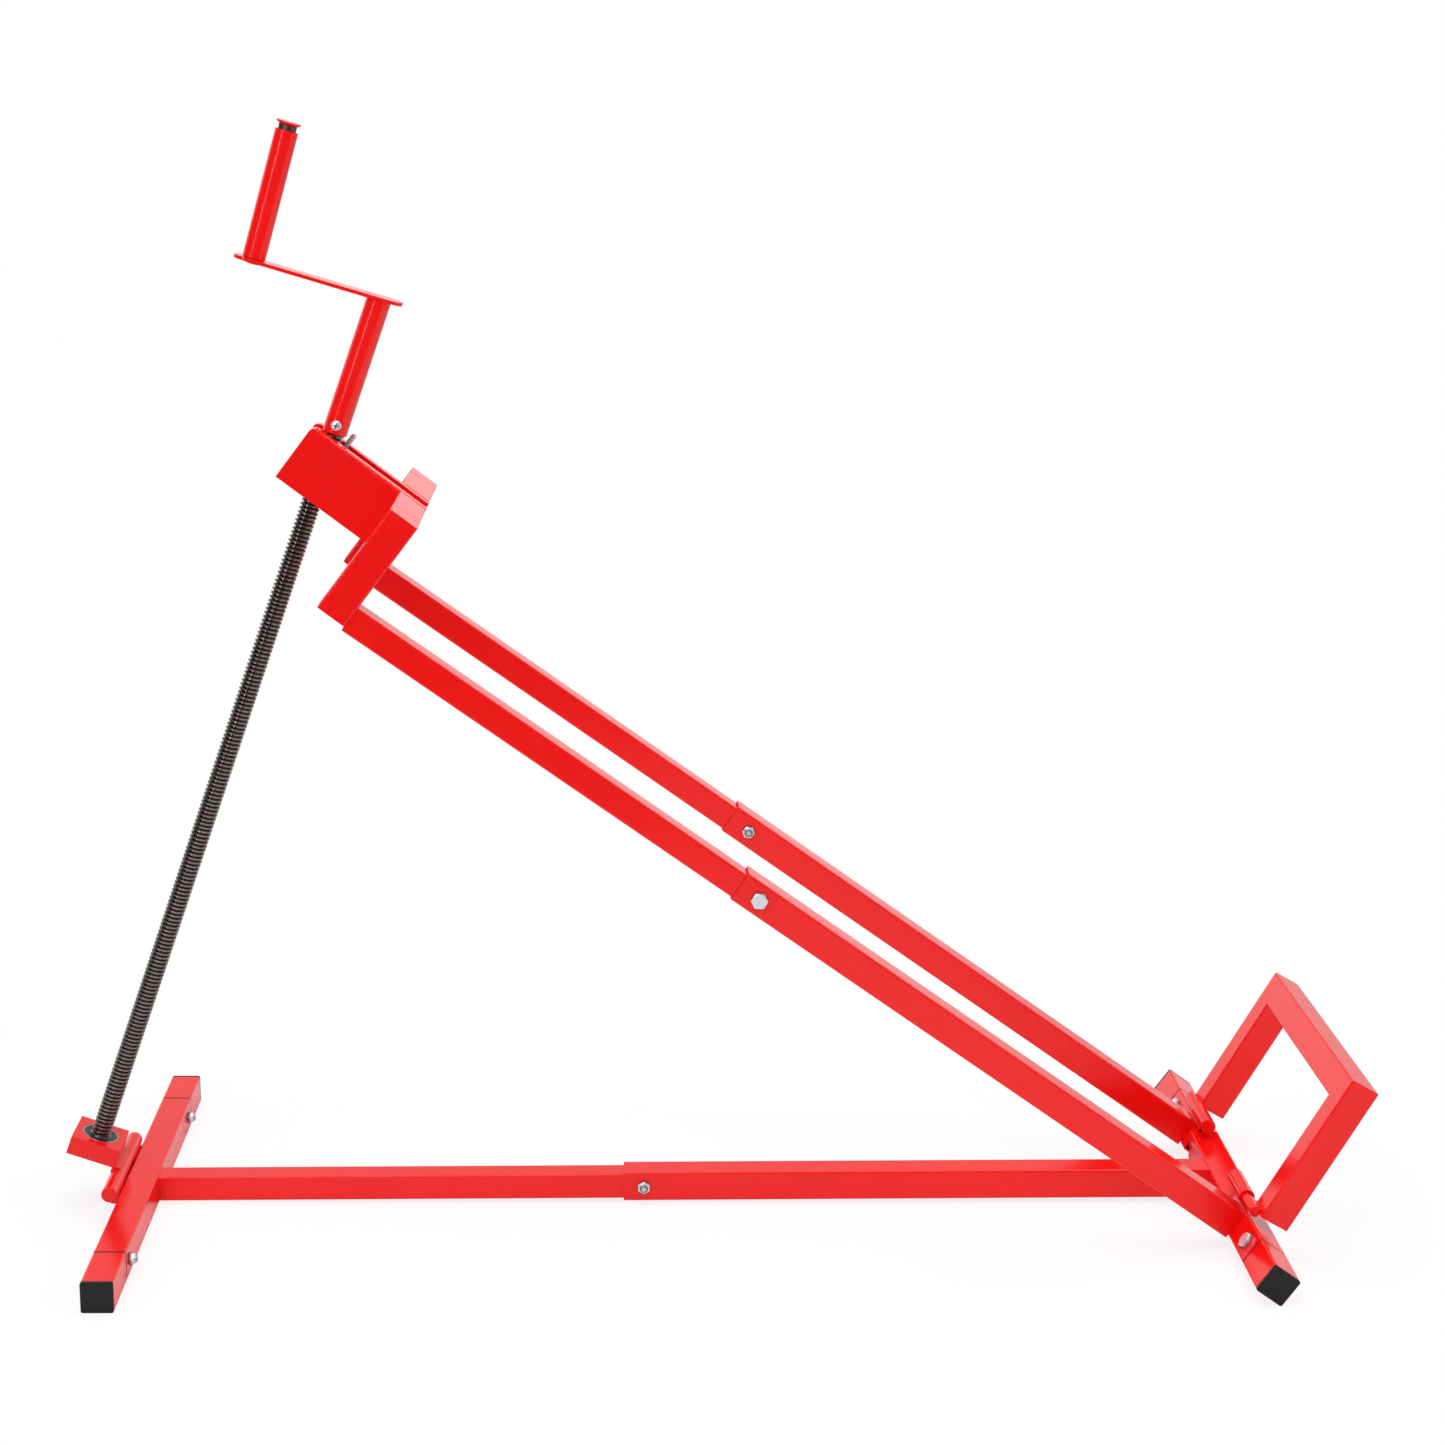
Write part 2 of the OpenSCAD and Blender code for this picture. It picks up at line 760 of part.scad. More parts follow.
module bearing_seal() {
    color(black) screw_axis()
        for (z = [bearing_low + seal_set, block_top - seal_set - seal_t])
            translate([0, 0, z])
                ring(bearing_d - 2 * ring_t, bearing_bore + 2 * ring_t + 2 * seal_gap, seal_t);
}

module bearing_balls() {
    pitch_r = bearing_r - ring_t - ball_r;
    color(zinc) screw_axis() for (i = [0 : ball_count - 1])
        rotate([0, 0, i * 360 / ball_count])
            translate([pitch_r, 0, bearing_low + bearing_w / 2]) sphere(r = ball_r);
}

module bearing_inner_ring() {
    color(zinc) screw_axis() translate([0, 0, bearing_low])
        ring(bearing_bore + 2 * ring_t, bearing_bore, bearing_w);
}

// Screw: threaded from the bearing up into the crank tube
module lead_screw() {
    color(dark_steel) screw_axis() difference() {
        union() {
            translate([0, 0, block_top]) cylinder(d = screw_d, h = screw_len);
            translate([0, 0, bearing_low]) cylinder(d = bearing_bore, h = bearing_w + over);
        }
        translate([0, 0, bearing_low - over]) cylinder(d = end_bolt_d, h = end_bolt_len + over);
        translate([0, -screw_d, crank_bolt_z]) to_side()
            cylinder(d = crank_bolt_d + 2 * bolt_hole_play, h = 2 * screw_d);
    }
}

module retaining_washer() {
    color(zinc) screw_axis() translate([0, 0, bearing_low - washer_t])
        ring(washer_d, end_bolt_d + 2 * bolt_hole_play, washer_t);
}

module retaining_bolt() {
    color(zinc) screw_axis() translate([0, 0, bearing_low - washer_t]) {
        translate([0, 0, -end_bolt_h]) hexagon(end_bolt_flats, end_bolt_h);
        cylinder(d = end_bolt_d, h = end_bolt_len + washer_t);
    }
}

// Crank
module crank_tube() {
    spare = crank_tube_d;
    color(red) difference() {
        screw_axis() translate([0, 0, crank_z]) difference() {
            cylinder(d = crank_tube_d, h = crank_tube_len + spare);
            translate([0, 0, -over])
                cylinder(d = crank_bore, h = crank_tube_len + spare + 2 * over);
            translate([0, -crank_tube_d, crank_bolt_rise]) to_side()
                cylinder(d = crank_bolt_d + 2 * bolt_hole_play, h = 2 * crank_tube_d);
        }
        bar_frame() translate([-crank_tube_d, -crank_tube_d, 0])
            cube([2 * crank_tube_d, 2 * crank_tube_d, 2 * spare]);
    }
}

module crank_bar() {
    reach = crank_radius + bar_end_past;
    end_r = crank_bar_w / 2;
    color(red) bar_frame() difference() {
        union() {
            for (x = [crank_bar_tail - end_r, end_r - reach])
                translate([x, 0, 0]) cylinder(r = end_r, h = crank_bar_t);
            translate([end_r - reach, -end_r, 0])
                cube([reach + crank_bar_tail - 2 * end_r, crank_bar_w, crank_bar_t]);
            translate([-crank_radius, 0, -bar_boss_h])
                cylinder(d = bar_boss_d, h = bar_boss_h + crank_bar_t / 2);
        }
        translate([-crank_radius, 0, -bar_boss_h - over])
            cylinder(d = rivet_neck_d, h = bar_boss_h + crank_bar_t + 2 * over);
    }
}

module crank_bolt() {
    color(zinc) screw_axis() translate([0, -crank_tube_d / 2, crank_bolt_z]) to_side() {
        translate([0, 0, -crank_head_h]) cylinder(d = crank_head_d, h = crank_head_h);
        cylinder(d = crank_bolt_d, h = crank_tube_d + crank_nut_h + bolt_tip);
        translate([0, 0, crank_tube_d]) hexagon(crank_nut_flats, crank_nut_h);
    }
}

module grip_spindle() {
    color(dark_steel) bar_frame() translate([-crank_radius, 0, 0]) {
        translate([0, 0, crank_bar_t])
            cylinder(d = spindle_d, h = grip_len + 2 * body_gap + spindle_show);
        translate([0, 0, -bar_boss_h]) cylinder(d = rivet_neck_d, h = bar_boss_h + crank_bar_t + over);
    }
}

// The disc widens from the spindle to a thin rim
module spindle_disc() {
    rim_t = disc_t * disc_rim_share;
    color(red) bar_frame()
        translate([-crank_radius, 0, crank_bar_t + grip_len + 2 * body_gap + spindle_show]) {
            cylinder(d1 = spindle_d, d2 = disc_d, h = disc_t - rim_t);
            translate([0, 0, disc_t - rim_t]) cylinder(d = disc_d, h = rim_t);
        }
}

module grip_sleeve() {
    color(red) bar_frame() translate([-crank_radius, 0, crank_bar_t + body_gap])
        ring(grip_d, spindle_d + 2 * run_play, grip_len);
}

front_bar();
front_knuckle(near);  // front_knuckle_near
front_knuckle(far);  // front_knuckle_far
front_hinge_pin();
front_leg(near);  // front_leg_near
front_leg(far);  // front_leg_far
front_cap(near);  // front_cap_near
front_cap(far);  // front_cap_far
front_bolt(near);  // front_bolt_near
front_bolt(far);  // front_bolt_far
base_inner_tube();
base_outer_tube();
base_bolt();
rear_cross_tube();
pivot_shaft();
rear_stub(near);  // rear_stub_near
rear_stub(far);  // rear_stub_far
rear_leg(near);  // rear_leg_near
rear_leg(far);  // rear_leg_far
rear_cap(near);  // rear_cap_near
rear_cap(far);  // rear_cap_far
rear_bolt(near);  // rear_bolt_near
rear_bolt(far);  // rear_bolt_far
stop_barrel(near);  // stop_barrel_near
stop_barrel(far);  // stop_barrel_far
arm_outer(near);  // arm_outer_near
arm_outer(far);  // arm_outer_far
arm_inner(near);  // arm_inner_near
arm_inner(far);  // arm_inner_far
arm_bolt(near);  // arm_bolt_near
arm_bolt(far);  // arm_bolt_far
upright(near);  // upright_near
upright(far);  // upright_far
head_tube(near);  // head_tube_near
head_tube(far);  // head_tube_far
head_channel();
head_stud();
nut_pivot_pin();
stop_leg(near);  // stop_leg_near
stop_leg(far);  // stop_leg_far
stop_top();
stop_knuckle(near);  // stop_knuckle_near
stop_knuckle(far);  // stop_knuckle_far
nut_block();
bearing_block();
bearing_outer_ring();
bearing_seal();
bearing_balls();
lead_screw();
bearing_inner_ring();
retaining_washer();
retaining_bolt();
crank_tube();
crank_bar();
crank_bolt();
grip_spindle();
spindle_disc();
grip_sleeve();
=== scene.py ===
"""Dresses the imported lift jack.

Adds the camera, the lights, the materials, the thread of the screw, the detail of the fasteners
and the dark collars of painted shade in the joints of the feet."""

import json
import math
from collections import namedtuple

import bmesh
import bpy
from mathutils import Matrix, Vector


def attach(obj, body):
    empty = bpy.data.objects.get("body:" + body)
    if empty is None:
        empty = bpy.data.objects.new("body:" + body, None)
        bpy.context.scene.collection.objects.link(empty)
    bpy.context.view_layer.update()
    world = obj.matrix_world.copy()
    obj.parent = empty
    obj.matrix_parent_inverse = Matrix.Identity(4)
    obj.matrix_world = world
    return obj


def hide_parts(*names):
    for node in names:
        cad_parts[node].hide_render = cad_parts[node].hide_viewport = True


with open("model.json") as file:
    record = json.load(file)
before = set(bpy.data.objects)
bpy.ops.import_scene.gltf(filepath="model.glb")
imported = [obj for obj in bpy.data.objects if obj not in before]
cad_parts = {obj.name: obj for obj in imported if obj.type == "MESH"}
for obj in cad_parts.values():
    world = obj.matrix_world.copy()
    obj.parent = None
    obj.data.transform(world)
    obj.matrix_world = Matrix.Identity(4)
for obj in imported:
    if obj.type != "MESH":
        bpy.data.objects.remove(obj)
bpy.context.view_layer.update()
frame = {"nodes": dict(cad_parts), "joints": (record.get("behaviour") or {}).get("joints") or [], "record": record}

MM = 0.001
NODES = frame["nodes"]
JOINTS = {joint["name"]: joint for joint in frame["joints"]}

# Sizes of the lifting screw, along its axis from the hinge's level
SCREW_R = 11 * MM
SCREW_ROOT_R = 8.6 * MM
SCREW_PITCH = 4.8 * MM
SCREW_START = 31.2 * MM
SCREW_LEN = 930 * MM
JOURNAL_R = 10 * MM
JOURNAL_START = 19.2 * MM

# The thread's mesh: its steps in a turn, and the degrees from which its edges stay sharp
THREAD_STEPS = 40
THREAD_SHARP = 30

# The thread's outline over one pitch, as shares of the pitch and of the depth
THREAD_SHARES = (
    (0.00, 0.0),
    (0.04, 0.08),
    (0.16, 0.92),
    (0.20, 1.0),
    (0.56, 1.0),
    (0.60, 0.92),
    (0.72, 0.08),
    (0.76, 0.0),
)

# Shortest distance of the outline's points from the flat ends of the thread
THREAD_TRIM = 0.02 * MM

# The attribute that fades the thread's painted groove shade out towards its crests, and how steeply it rises
CREST = "crest"
CREST_GAIN = 1.8

# Sizes of the frame bolts
BOLT_R = 4 * MM
BOLT_HEAD_FLATS = 16.5 * MM
BOLT_HEAD_H = 5.3 * MM
NUT_FLATS = 13 * MM
NUT_H = 6.5 * MM
NUT_COLLAR_R = 5.6 * MM
NUT_COLLAR_H = 1.8 * MM
NUT_MOUTH_W = 0.9 * MM
NUT_MOUTH_H = 1.4 * MM
BOLT_PITCH = 1.25 * MM
BOLT_TIP = 2 * MM
BOLT_CHAMFER = 0.6 * MM

# The fasteners' meshes: their steps in a turn, and the degrees from which their edges stay sharp
FASTENER_STEPS = 72
FASTENER_SHARP = 25

# Chamfer of the hexagons: its slope, and its circle as a share of the flats
HEX_SLOPE = 0.577
CIRCLE_SHARE = 0.94

# A ridge of a fastener's thread: its depth and the heights of its corners, as shares of the pitch
RIDGE_DEPTH = 0.6
RIDGE_ROOT = (0.1, 0.3)
RIDGE_TOP = (0.6, 0.8)

# The attribute that paints shade onto the fasteners, and its value at their seats, in the mouth of a nut,
# at the thread's end and in the cross recess: painted shade where they meet the tube, in their hollows and on the
# chamfered end
PAINTED_SHADE = "painted_shade"
SEAT_DARK = 0.85
MOUTH_DARK = 1.0
TIP_DARK = 0.7
CROSS_DARK = 0.8

# Sizes of the crank's cross bolt
CRANK_BOLT_R = 3 * MM
CRANK_BOLT_PITCH = 1 * MM
CRANK_HEAD_R = 5.75 * MM
CRANK_HEAD_H = 3.4 * MM
CRANK_DOME_SHARE = 0.75
CRANK_DOME_STEPS = 25
CRANK_NUT_FLATS = 10 * MM
CRANK_NUT_H = 5 * MM
CRANK_COLLAR_R = 4.6 * MM
CRANK_COLLAR_H = 0.9 * MM
CROSS_SPAN = 3.2 * MM
CROSS_WIDTH = 1.0 * MM
CROSS_DEPTH = 1.9 * MM
CROSS_TAPER = 0.5

# Sizes of the stud on the head's slot
STUD_R = 3.15 * MM
STUD_TIP_R = 0.75 * STUD_R
STUD_TIP_H = STUD_R / 3

# Sizes of the bolt under the bearing
END_BOLT_R = 5 * MM
END_HEAD_FLATS = 17 * MM
END_HEAD_H = 6.4 * MM

# Sizes of the dark collars of painted shade that close the joints of the feet, over the tubes' rounded ends,
# and the degrees from which their edges stay sharp
TUBE_W = 35 * MM
JOINT_SHADE_W = 35.06 * MM
JOINT_SHADE_CORNER = 2.5 * MM
JOINT_SHADE_CORNER_STEPS = 4
JOINT_SHADE_BEFORE = 0.5 * MM
JOINT_SHADE_AFTER = 1.9 * MM
JOINT_SHADE_SHARP = 40
FOOT_HALF = 223 * MM

# Width of the rounded edges: a tube's, a welded tube's, and those of other slots
TUBE_EDGE = 0.5 * MM
WELDED_EDGE = 0.12 * MM
EDGES = {"zinc_steel": 0.3 * MM, "seal": 0.3 * MM, "black_plastic": 1.3 * MM}

# The degrees from which an edge is rounded, its steps, and how far large faces lead its shading
EDGE_ANGLE = 35
EDGE_SEGMENTS = 2
LARGE_FACES_LEAD = 100

# Before the rounding, points closer than the first join, and faces within the second in degrees
SAME_POINT = 0.01 * MM
SAME_PLANE = 1

# Tubes that are welded to each other at ground-off mitres
WELDED = ("stop_leg_near", "stop_leg_far", "stop_top")

# Nodes of bright ground steel
RINGS = ("bearing_outer_ring", "bearing_inner_ring")

# Angles and directions in the photographed position
ARM_ANGLE = math.radians(35.15)
HEAD_ANGLE = math.radians(36.79)
SCREW_LEAN = math.radians(19.3114)
ARM_DOWN = Vector((math.cos(ARM_ANGLE), 0, -math.sin(ARM_ANGLE)))
HEAD_UP = Vector((math.sin(HEAD_ANGLE), 0, math.cos(HEAD_ANGLE)))
SCREW_UP = Vector((math.sin(SCREW_LEAN), 0, math.cos(SCREW_LEAN)))

# Camera, fitted to the edges of the square tubes
CAMERA_PLACE = Vector((553.32, -2931.78, 1289.66)) * MM
CAMERA_YAW = -2.2
CAMERA_PITCH = 13.69
CAMERA_ROLL = 0.81
CAMERA_LENS = 66.73
CAMERA_SENSOR = 36
CAMERA_FAR = 100

# From this cosine on, two directions count as parallel
NEARLY_PARALLEL = 0.99

# Direction near which the lamps' second side lies
LAMP_SIDE = Vector((1, 0.001, 0))

# Square lamps: name, place, target, size and power
LAMPS = (
    ("key", (-0.6, -2.6, 2.6), (0.6, 0, 0.4), 2.4, 46),
    ("top", (0.7, 0.3, 3.2), (0.7, 0, 0.3), 2.6, 56),
    ("right", (3.2, -0.8, 1.6), (0.8, 0, 0.4), 2.0, 14),
)

# Narrow upright lamp that only the gloss sees: name, place, target, height, power and width
STRIP_LAMP = ("strip", (-1.15, -2.15, 0.75), (0.15, 0, 0.75), 2.0, 8, 0.12)

# Level of the world's light, and its gloss by the direction's height and depth:
# from and to value, level at each
WORLD_LEVEL = 0.5
GLOSS_BY_HEIGHT = (0.1, 0.4, 1.1, 0.65)
GLOSS_BY_DEPTH = (0.0, 0.6, 0.04, 1.0)

# The floor: its reach, its nearest edge, its middle under the object, its colours
FLOOR_HALF = 15
FLOOR_FRONT = -1.8
FLOOR_MIDDLE = (0.65, 0, 0)
FLOOR_COLOUR = (0.93, 0.93, 0.93, 1)
FLOOR_IN_GLOSS = (0.78, 0.78, 0.78, 1)
WHITE = (1, 1, 1, 1)

# How the floor turns white to the camera away from its middle: the stretch of the distance,
# and from and to distance, share of white at each
FLOOR_STRETCH = (0.6, 1, 1)
FLOOR_FADE = (0.35, 0.95, 0.8, 1.0)

# The inputs of a map range node in the order of those values
RANGE_SOCKETS = ("From Min", "From Max", "To Min", "To Max")

# Materials: the middle range of a noise, the depth of a bump,
# and the sockets of a colour mix: factor, first, second, result
NOISE_MIDDLE = (0.3, 0.7)
BUMP_DEPTH = 0.2 * MM
MIX_INPUTS = (0, 6, 7)
MIX_RESULT = 2


def srgb(red, green, blue):
    """A colour given as a screen shows it, from 0 to 255, as linear values."""
    return tuple(
        (c / 255 / 12.92) if c <= 10 else ((c / 255 + 0.055) / 1.055) ** 2.4
        for c in (red, green, blue)
    ) + (1,)


class Nodes:
    """A short way to build a material's node tree."""

    def __init__(self, name):
        self.material = bpy.data.materials.new(name)
        self.material.use_nodes = True
        self.tree = self.material.node_tree
        self.tree.nodes.clear()

    def add(self, kind, **inputs):
        node = self.tree.nodes.new("ShaderNode" + kind)
        for key, value in inputs.items():
            self.feed(node, key.replace("_", " "), value)
        return node

    def feed(self, node, key, value):
        """Links or sets a node's input, by its name or its number."""
        socket = node.inputs[key]
        if isinstance(value, bpy.types.NodeSocket):
            self.tree.links.new(value, socket)
        else:
            socket.default_value = value

    def coords(self):
        return self.add("TexCoord").outputs["Object"]

    def noise(self, scale, detail):
        node = self.add("TexNoise", Vector=self.coords(), Scale=scale, Detail=detail)
        return node.outputs["Fac"]

    def spread(self, value, low, high):
        """A number from low to high as a noise goes over its middle range."""
        node = self.add("MapRange", Value=value)
        for key, number in zip(RANGE_SOCKETS, (*NOISE_MIDDLE, low, high)):
            self.feed(node, key, number)
        return node.outputs["Result"]

    def blend(self, factor, first, second):
        node = self.tree.nodes.new("ShaderNodeMix")
        node.data_type = "RGBA"
        for number, value in zip(MIX_INPUTS, (factor, first, second)):
            self.feed(node, number, value)
        return node.outputs[MIX_RESULT]

    def share(self, name):
        """The value of a mesh's attribute."""
        node = self.add("Attribute")
        node.attribute_name = name
        return node.outputs["Fac"]

    def bump(self, height, strength):
        node = self.add("Bump", Height=height, Strength=strength, Distance=BUMP_DEPTH)
        return node.outputs["Normal"]

    def surface(self, **inputs):
        shader = self.add("BsdfPrincipled")
        for key, value in inputs.items():
            self.feed(shader, key.replace("_", " "), value)
        out = self.add("OutputMaterial")
        self.tree.links.new(shader.outputs[0], out.inputs["Surface"])
        return self.material


def red_paint():
    """Glossy powder coat with a faint orange peel."""
    n = Nodes("red_paint")
    cloud = n.spread(n.noise(9, 4), 0, 1)
    colour = n.blend(cloud, srgb(234, 15, 13), srgb(238, 17, 14))
    rough = n.spread(n.noise(45, 5), 0.16, 0.2)
    peel = n.bump(n.noise(300, 2), 0.05)
    return n.surface(Base_Color=colour, Roughness=rough, Normal=peel, Specular_IOR_Level=0.4)


def black_plastic():
    """Moulded plastic of the end caps."""
    n = Nodes("black_plastic")
    colour = n.blend(n.noise(60, 4), srgb(17, 15, 18), srgb(24, 21, 25))
    rough = n.spread(n.noise(300, 3), 0.42, 0.55)
    grain = n.bump(n.noise(1800, 2), 0.25)
    return n.surface(Base_Color=colour, Roughness=rough, Normal=grain, Specular_IOR_Level=0.3)


def bright_zinc():
    """Blue-white zinc plating of bolts and nuts, with painted shade where the painted_shade attribute says."""
    n = Nodes("bright_zinc")
    plating = n.blend(n.noise(160, 4), srgb(218, 227, 243), srgb(241, 244, 248))
    # Painted shade: the dark colour laid over the plating where the attribute says
    colour = n.blend(n.share(PAINTED_SHADE), plating, srgb(38, 36, 44))
    rough = n.spread(n.noise(420, 4), 0.2, 0.34)
    grain = n.bump(n.noise(900, 3), 0.15)
    return n.surface(Base_Color=colour, Metallic=0.62, Roughness=rough, Normal=grain)


def bearing_steel():
    """Ground steel of the bearing's rings."""
    n = Nodes("bearing_steel")
    colour = n.blend(n.noise(200, 4), srgb(150, 150, 156), srgb(186, 186, 190))
    rough = n.spread(n.noise(420, 4), 0.16, 0.28)
    grain = n.bump(n.noise(900, 3), 0.1)
    return n.surface(Base_Color=colour, Metallic=1.0, Roughness=rough, Normal=grain)


def screw_steel():
    """Steel of the lifting screw, with painted shade in the grooves that fades out towards the crests."""
    n = Nodes("screw_steel")
    steel = n.blend(n.noise(120, 5), srgb(112, 103, 101), srgb(142, 132, 129))
    # Painted shade: the dark colour in the grooves, fading to the steel towards the crests
    colour = n.blend(n.share(CREST), srgb(52, 39, 37), steel)
    rough = n.spread(n.noise(260, 4), 0.15, 0.25)
    grain = n.bump(n.noise(1500, 3), 0.12)
    return n.surface(Base_Color=colour, Metallic=0.85, Roughness=rough, Normal=grain)


def spindle_steel():
    """Bare dark steel of the spindle and of what lies inside."""
    n = Nodes("spindle_steel")
    colour = n.blend(n.noise(200, 5), srgb(84, 66, 58), srgb(120, 100, 90))
    rough = n.spread(n.noise(350, 3), 0.35, 0.5)
    grain = n.bump(n.noise(1200, 2), 0.1)
    return n.surface(Base_Color=colour, Metallic=0.85, Roughness=rough, Normal=grain)


def joint_shade_black():
    """Painted shade: dull black of the collars that stand in for the shade of the open joints of the feet."""
    n = Nodes("joint_shade_black")
    colour = n.blend(n.noise(150, 3), srgb(22, 16, 15), srgb(36, 27, 25))
    rough = n.spread(n.noise(400, 3), 0.7, 0.85)
    grain = n.bump(n.noise(1100, 2), 0.1)
    return n.surface(Base_Color=colour, Roughness=rough, Normal=grain, Specular_IOR_Level=0.15)


def seal_rubber():
    """Black seal of the ball bearing."""
    n = Nodes("seal_rubber")
    colour = n.blend(n.noise(90, 3), srgb(26, 26, 30), srgb(38, 37, 42))
    rough = n.spread(n.noise(500, 3), 0.3, 0.45)
    grain = n.bump(n.noise(1400, 2), 0.1)
    return n.surface(Base_Color=colour, Roughness=rough, Normal=grain)


RED = red_paint()
BLACK = black_plastic()
ZINC = bright_zinc()
SCREW = screw_steel()
SPINDLE = spindle_steel()
SEAL = seal_rubber()
JOINT_SHADE_BLACK = joint_shade_black()
BEARING = bearing_steel()
BY_SLOT = {
    "red_paint": RED,
    "black_plastic": BLACK,
    "zinc_steel": ZINC,
    "dark_steel": SPINDLE,
    "seal": SEAL,
}


def dress(obj, material):
    obj.data.materials.clear()
    obj.data.materials.append(material)


def shade_smooth(obj, sharp=None):
    """Shades an object smooth, but for edges sharper than an angle in degrees."""
    for face in obj.data.polygons:
        face.use_smooth = True
    if sharp is not None:
        obj.data.set_sharp_from_angle(angle=math.radians(sharp))


def soften(obj, width):
    """Rounds the sharp edges of a CAD node and shades its curves smooth."""
    weld = obj.modifiers.new("weld", "WELD")
    weld.merge_threshold = SAME_POINT
    planes = obj.modifiers.new("planes", "DECIMATE")
    planes.decimate_type = "DISSOLVE"
    planes.angle_limit = math.radians(SAME_PLANE)
    bevel = obj.modifiers.new("bevel", "BEVEL")
    bevel.width = width
    bevel.segments = EDGE_SEGMENTS
    bevel.limit_method = "ANGLE"
    bevel.angle_limit = math.radians(EDGE_ANGLE)
    bevel.use_clamp_overlap = True
    bevel.harden_normals = False
    smooth = obj.modifiers.new("normals", "WEIGHTED_NORMAL")
    smooth.keep_sharp = False
    smooth.weight = LARGE_FACES_LEAD


def finish_cad_nodes():
    slots = {part["node"]: part["material_slot"] for part in frame["record"]["subparts"]}
    for name, obj in NODES.items():
        dress(obj, BEARING if name in RINGS else BY_SLOT[slots[name]])
        shade_smooth(obj)
        soften(obj, WELDED_EDGE if name in WELDED else EDGES.get(slots[name], TUBE_EDGE))


def mesh_object(name, build, material, body, place=Matrix.Identity(4)):
    """A piece whose bmesh is filled by build, put in place and tied to its body."""
    bm = bmesh.new()
    # Every piece carries the painted shade layer, zero unless an outline sets it
    bm.verts.layers.float.new(PAINTED_SHADE)
    build(bm)
    bmesh.ops.recalc_face_normals(bm, faces=bm.faces)
    mesh = bpy.data.meshes.new(name)
    bm.to_mesh(mesh)
    bm.free()
    mesh.transform(place)
    obj = bpy.data.objects.new(name, mesh)
    bpy.context.scene.collection.objects.link(obj)
    dress(obj, material)
    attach(obj, body)
    return obj


def axis_frame(point, direction, side=Vector((0, 1, 0))):
    """A frame at the point with Z along the direction and Y near side."""
    z = Vector(direction).normalized()
    if abs(z.dot(side)) > NEARLY_PARALLEL:
        side = Vector((1, 0, 0))
    x = side.cross(z).normalized()
    y = z.cross(x)
    turned = Matrix((x, y, z)).transposed().to_4x4()
    return Matrix.Translation(point) @ turned


def hex_radius(flats, turn):
    """Distance from the axis to a hexagon's side, the corners at zero and every sixth of a turn."""
    sixth = math.pi / 3
    return flats / 2 / math.cos(turn % sixth - sixth / 2)


# A ring of an outline: its radius, or the flats of a hexagon that has a slope towards its corners,
# its height, and how dark its painted shade is
Ring = namedtuple("Ring", "radius height slope dark", defaults=(None, 0))


def revolve(bm, outline, steps):
    """A closed solid round Z from rings that start and end on the axis."""
    painted_shade = bm.verts.layers.float[PAINTED_SHADE]
    rings = []
    for point in (Ring(*values) for values in outline):
        ring = []
        for i in range(steps if point.radius else 1):
            turn = 2 * math.pi * i / steps
            radius, height = point.radius, point.height
            if point.slope is not None:
                radius = hex_radius(point.radius, turn)
                height += point.slope * (radius - point.radius / 2)
            vertex = bm.verts.new((radius * math.cos(turn), radius * math.sin(turn), height))
            vertex[painted_shade] = point.dark
            ring.append(vertex)
        rings.append(ring)
    for low, high in zip(rings, rings[1:]):
        for i in range(steps):
            j = (i + 1) % steps
            corners = [low[i % len(low)], low[j % len(low)]]
            corners += [high[j % len(high)], high[i % len(high)]]
            unique = list(dict.fromkeys(corners))
            if len(unique) > 2:
                bm.faces.new(unique)


def thread_radius(share):
    """Radius of the thread at a share of its pitch."""
    share %= 1
    for (start, low), (end, high) in zip(THREAD_SHARES, THREAD_SHARES[1:] + ((1, 0),)):
        if share <= end:
            depth = low + (high - low) * (share - start) / (end - start)
            return SCREW_ROOT_R + (SCREW_R - SCREW_ROOT_R) * depth


def thread_column(bm, step):
    """The thread at one step of the turn: its vertices by number along the helix, and two ends."""
    turn = 2 * math.pi * step / THREAD_STEPS
    low, high = SCREW_START, SCREW_START + SCREW_LEN

    def vertex(height):
        radius = thread_radius((height - low) / SCREW_PITCH - step / THREAD_STEPS)
        return bm.verts.new((radius * math.cos(turn), radius * math.sin(turn), height))

    points = {}
    for winding in range(-1, int(SCREW_LEN / SCREW_PITCH) + 1):
        for number, (share, _) in enumerate(THREAD_SHARES):
            height = low + SCREW_PITCH * (winding + step / THREAD_STEPS + share)
            if low + THREAD_TRIM < height < high - THREAD_TRIM:
                points[winding * len(THREAD_SHARES) + number] = vertex(height)
    return points, vertex(low), vertex(high)


def build_thread(bm):
    """One closed solid: the journal and the helix from the bearing to the screw's top."""
    columns = [thread_column(bm, step) for step in range(THREAD_STEPS)]
    for k, (here, low, high) in enumerate(columns):
        there, next_low, next_high = columns[(k + 1) % THREAD_STEPS]
        if k + 1 == THREAD_STEPS:
            there = {number - len(THREAD_SHARES): point for number, point in there.items()}
        both = sorted(here.keys() & there.keys())
        for a, b in zip(both, both[1:]):
            bm.faces.new((here[a], there[a], there[b], here[b]))
        first, last = both[0], both[-1]
        left = [here[n] for n in sorted(here) if n <= first]
        right = [there[n] for n in sorted(there) if n <= first]
        bm.faces.new([low] + left + right[::-1] + [next_low])
        left = [here[n] for n in sorted(here) if n >= last]
        right = [there[n] for n in sorted(there) if n >= last]
        bm.faces.new(left + [high, next_high] + right[::-1])

    def ring(radius, height):
        turns = [2 * math.pi * k / THREAD_STEPS for k in range(THREAD_STEPS)]
        return [bm.verts.new((radius * math.cos(t), radius * math.sin(t), height)) for t in turns]

    end, shoulder = ring(JOURNAL_R, JOURNAL_START), ring(JOURNAL_R, SCREW_START)
    foot = [low for _, low, _ in columns]
    for lower, upper in ((end, shoulder), (shoulder, foot)):
        for k in range(THREAD_STEPS):
            bm.faces.new((lower[k - 1], lower[k], upper[k], upper[k - 1]))
    bm.faces.new(end)
    bm.faces.new([high for _, _, high in columns])


